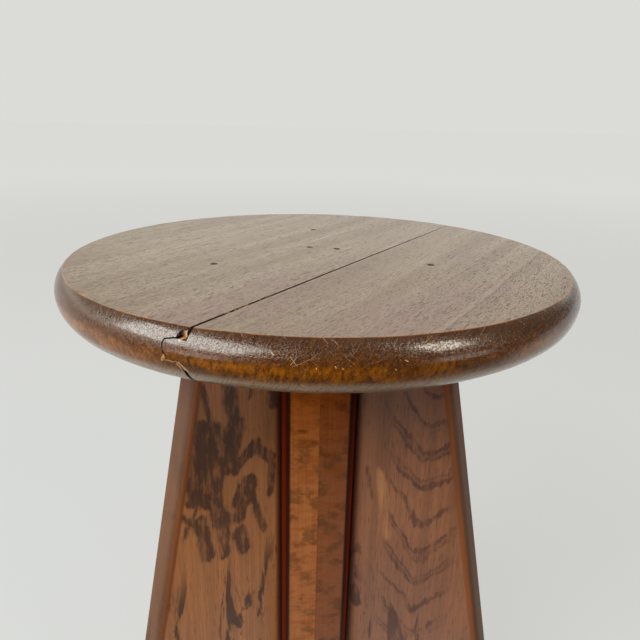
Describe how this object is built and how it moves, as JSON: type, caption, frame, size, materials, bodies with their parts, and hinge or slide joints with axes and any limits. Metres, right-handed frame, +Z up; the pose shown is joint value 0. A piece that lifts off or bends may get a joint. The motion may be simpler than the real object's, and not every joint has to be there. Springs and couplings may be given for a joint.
{
  "type": "three-leg stool",
  "caption": "Wooden stool with a round seat glued up from boards, on plank legs that flare out around a six-sided core post.",
  "frame": {"origin": "on the floor, under the middle of the round seat", "axes": "+Z up through the seat, +Y towards the rear leg, +X to the right seen from the front"},
  "size_m": [0.35, 0.35, 0.41],
  "materials": {
    "seat_wood": "dark brown stain under worn satin varnish",
    "leg_wood": "warm brown stain under satin varnish",
    "dowel_wood": "bare pale hardwood",
    "nail_steel": "plain drawn wire",
    "filler": "dark hard wood filler"
  },
  "bodies": {
    "root": {"filler_plug_leg_left": "filler", "filler_plug_leg_rear": "filler", "filler_plug_leg_right": "filler", "filler_plug_post_left": "filler", "filler_plug_post_right": "filler", "leg_dowel_left_1": "dowel_wood", "leg_dowel_left_2": "dowel_wood", "leg_dowel_left_3": "dowel_wood", "leg_dowel_rear_1": "dowel_wood", "leg_dowel_rear_2": "dowel_wood", "leg_dowel_rear_3": "dowel_wood", "leg_dowel_right_1": "dowel_wood", "leg_dowel_right_2": "dowel_wood", "leg_dowel_right_3": "dowel_wood", "leg_left": "leg_wood", "leg_rear": "leg_wood", "leg_right": "leg_wood", "nail_leg_left": "nail_steel", "nail_leg_rear": "nail_steel", "nail_leg_right": "nail_steel", "nail_post_left": "nail_steel", "nail_post_right": "nail_steel", "post_half_left": "leg_wood", "post_half_right": "leg_wood", "seat_board_narrow": "seat_wood", "seat_board_wide": "seat_wood", "seat_dowel_1": "dowel_wood", "seat_dowel_2": "dowel_wood", "seat_dowel_3": "dowel_wood"}
  },
  "joints": []
}
